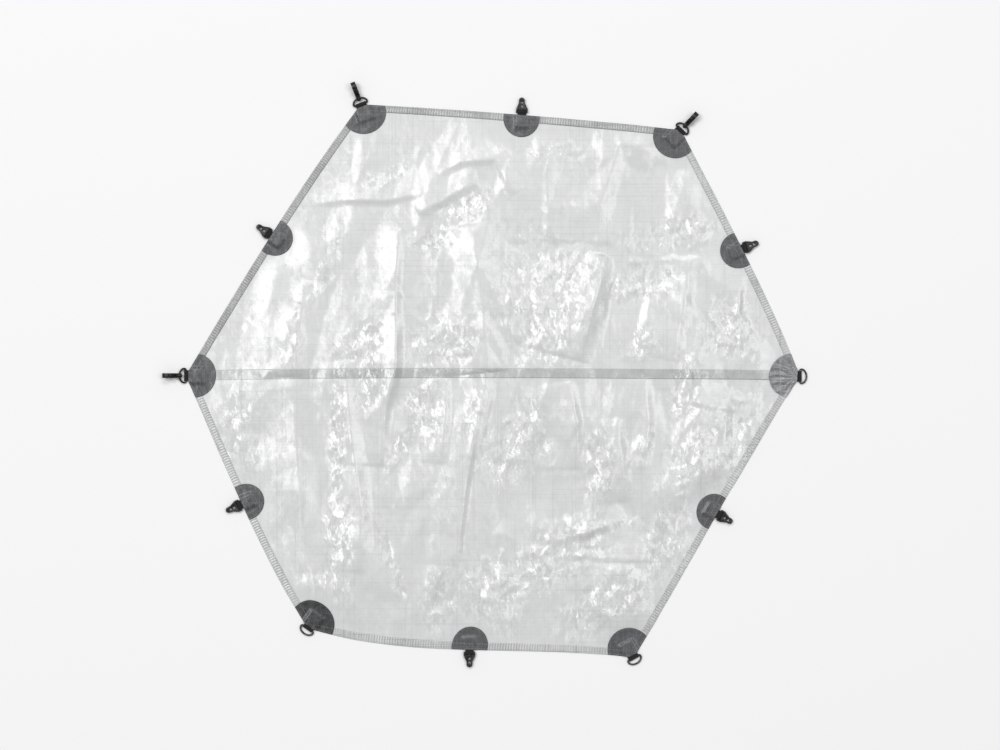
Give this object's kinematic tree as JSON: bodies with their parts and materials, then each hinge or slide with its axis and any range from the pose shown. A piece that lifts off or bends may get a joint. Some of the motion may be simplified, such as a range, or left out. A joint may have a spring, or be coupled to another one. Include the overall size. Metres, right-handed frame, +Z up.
{
  "type": "tarp shelter",
  "caption": "Hexagonal sheet of clear laminate with a taped centre seam, hems, dark corner and edge patches, and snap hooks, D-rings and cord tensioners on webbing loops.",
  "frame": {"origin": "on the ground plane, the underside of the laid sheet, at the middle of the sheet", "axes": "+X along the centre seam towards the right corner's D-ring, +Y towards the top edge between two snap hooks, +Z up, out of the sheet's top side"},
  "size_m": [1.1276, 1.0235, 0.0198],
  "materials": {
    "laminate": "translucent white film laminate, crinkled and glossy",
    "seam_tape": "translucent bonded tape, satin",
    "hem": "folded laminate, puckered at its stitches",
    "patch": "dark grey laminate, satin",
    "webbing": "black woven polyester",
    "ring": "black coated steel, semi-gloss",
    "hook": "black moulded acetal, satin",
    "gate": "black moulded acetal, satin",
    "tensioner": "black moulded acetal, satin"
  },
  "bodies": {
    "sheet": {"upper_panel": "laminate", "lower_panel": "laminate", "centre_seam_tape": "seam_tape", "hem_upper_right": "hem", "hem_top": "hem", "hem_upper_left": "hem", "hem_lower_left": "hem", "hem_bottom": "hem", "hem_lower_right": "hem", "patch_right_corner": "patch", "patch_top_right_corner": "patch", "patch_top_left_corner": "patch", "patch_left_corner": "patch", "patch_bottom_left_corner": "patch", "patch_bottom_right_corner": "patch", "patch_upper_right_edge": "patch", "patch_top_edge": "patch", "patch_upper_left_edge": "patch", "patch_lower_left_edge": "patch", "patch_bottom_edge": "patch", "patch_lower_right_edge": "patch", "webbing_right_corner": "webbing", "webbing_top_right_corner": "webbing", "webbing_top_left_corner": "webbing", "webbing_left_corner": "webbing", "webbing_bottom_left_corner": "webbing", "webbing_bottom_right_corner": "webbing", "webbing_upper_right_edge": "webbing", "webbing_top_edge": "webbing", "webbing_upper_left_edge": "webbing", "webbing_lower_left_edge": "webbing", "webbing_bottom_edge": "webbing", "webbing_lower_right_edge": "webbing"},
    "ring_right": {"d_ring_right": "ring"},
    "ring_bottom_left": {"d_ring_bottom_left": "ring"},
    "ring_bottom_right": {"d_ring_bottom_right": "ring"},
    "frame_top_right": {"hook_frame_top_right": "hook"},
    "hook_top_right": {"swivel_hook_top_right": "hook"},
    "gate_top_right": {"spring_gate_top_right": "gate"},
    "frame_top_left": {"hook_frame_top_left": "hook"},
    "hook_top_left": {"swivel_hook_top_left": "hook"},
    "gate_top_left": {"spring_gate_top_left": "gate"},
    "frame_left": {"hook_frame_left": "hook"},
    "hook_left": {"swivel_hook_left": "hook"},
    "gate_left": {"spring_gate_left": "gate"},
    "tensioner_upper_right": {"cord_tensioner_upper_right": "tensioner"},
    "tensioner_top": {"cord_tensioner_top": "tensioner"},
    "tensioner_upper_left": {"cord_tensioner_upper_left": "tensioner"},
    "tensioner_lower_left": {"cord_tensioner_lower_left": "tensioner"},
    "tensioner_bottom": {"cord_tensioner_bottom": "tensioner"},
    "tensioner_lower_right": {"cord_tensioner_lower_right": "tensioner"}
  },
  "joints": [
    {"name": "ring_swing_right", "type": "hinge", "parent": "sheet", "child": "ring_right", "pos_m": [0.5334, 0.003, 0.003], "axis": [0, -1, 0], "range_deg": [-120, 135]},
    {"name": "ring_swing_bottom_left", "type": "hinge", "parent": "sheet", "child": "ring_bottom_left", "pos_m": [-0.32739, -0.43771, 0.003], "axis": [-0.8221, 0.5693, 0], "range_deg": [-120, 135]},
    {"name": "ring_swing_bottom_right", "type": "hinge", "parent": "sheet", "child": "ring_bottom_right", "pos_m": [0.2426, -0.48909, 0.003], "axis": [-0.878, -0.4787, 0], "range_deg": [-120, 135]},
    {"name": "frame_swing_top_right", "type": "hinge", "parent": "sheet", "child": "frame_top_right", "pos_m": [0.32549, 0.43367, 0.003], "axis": [0.723, -0.6909, 0], "range_deg": [-115, 115]},
    {"name": "hook_swivel_top_right", "type": "hinge", "parent": "frame_top_right", "child": "hook_top_right", "pos_m": [0.32549, 0.43367, 0.003], "axis": [0.6673, 0.6983, 0.2588], "continuous": true},
    {"name": "gate_swing_top_right", "type": "hinge", "parent": "hook_top_right", "child": "gate_top_right", "pos_m": [0.33877, 0.44756, 0.01167], "axis": [-0.723, 0.6909, 0], "range_deg": [0, 24], "stiffness_Nm_per_rad": 0.01, "springref_deg": -8.59},
    {"name": "frame_swing_top_left", "type": "hinge", "parent": "sheet", "child": "frame_top_left", "pos_m": [-0.2345, 0.47873, 0.003], "axis": [0.9336, 0.3584, 0], "range_deg": [-115, 115]},
    {"name": "hook_swivel_top_left", "type": "hinge", "parent": "frame_top_left", "child": "hook_top_left", "pos_m": [-0.2345, 0.47873, 0.003], "axis": [-0.3462, 0.9018, 0.2588], "continuous": true},
    {"name": "gate_swing_top_left", "type": "hinge", "parent": "hook_top_left", "child": "gate_top_left", "pos_m": [-0.24138, 0.49666, 0.01167], "axis": [-0.9336, -0.3584, 0], "range_deg": [0, 24], "stiffness_Nm_per_rad": 0.01, "springref_deg": -8.59},
    {"name": "frame_swing_left", "type": "hinge", "parent": "sheet", "child": "frame_left", "pos_m": [-0.5409, 0.0042, 0.003], "axis": [0, 1, 0], "range_deg": [-115, 115]},
    {"name": "hook_swivel_left", "type": "hinge", "parent": "frame_left", "child": "hook_left", "pos_m": [-0.5409, 0.0042, 0.003], "axis": [-0.9659, 0, 0.2588], "continuous": true},
    {"name": "gate_swing_left", "type": "hinge", "parent": "hook_left", "child": "gate_left", "pos_m": [-0.56011, 0.0042, 0.01167], "axis": [0, -1, 0], "range_deg": [0, 24], "stiffness_Nm_per_rad": 0.01, "springref_deg": -8.59},
    {"name": "tensioner_swing_upper_right", "type": "hinge", "parent": "sheet", "child": "tensioner_upper_right", "pos_m": [0.43749, 0.22812, 0.003], "axis": [0.3633, -0.9317, 0], "range_deg": [-115, 115]},
    {"name": "tensioner_swing_top", "type": "hinge", "parent": "sheet", "child": "tensioner_top", "pos_m": [0.04695, 0.4657, 0.003], "axis": [1, 0, 0], "range_deg": [-115, 115]},
    {"name": "tensioner_swing_upper_left", "type": "hinge", "parent": "sheet", "child": "tensioner_upper_left", "pos_m": [-0.39619, 0.25254, 0.003], "axis": [0.5693, 0.8221, 0], "range_deg": [-115, 115]},
    {"name": "tensioner_swing_lower_left", "type": "hinge", "parent": "sheet", "child": "tensioner_lower_left", "pos_m": [-0.44774, -0.22262, 0.003], "axis": [-0.4115, 0.9114, 0], "range_deg": [-115, 115]},
    {"name": "tensioner_swing_bottom", "type": "hinge", "parent": "sheet", "child": "tensioner_bottom", "pos_m": [-0.04464, -0.48102, 0.003], "axis": [-1, 0, 0], "range_deg": [-115, 115]},
    {"name": "tensioner_swing_lower_right", "type": "hinge", "parent": "sheet", "child": "tensioner_lower_right", "pos_m": [0.39333, -0.24015, 0.003], "axis": [-0.5, -0.866, 0], "range_deg": [-115, 115]}
  ]
}
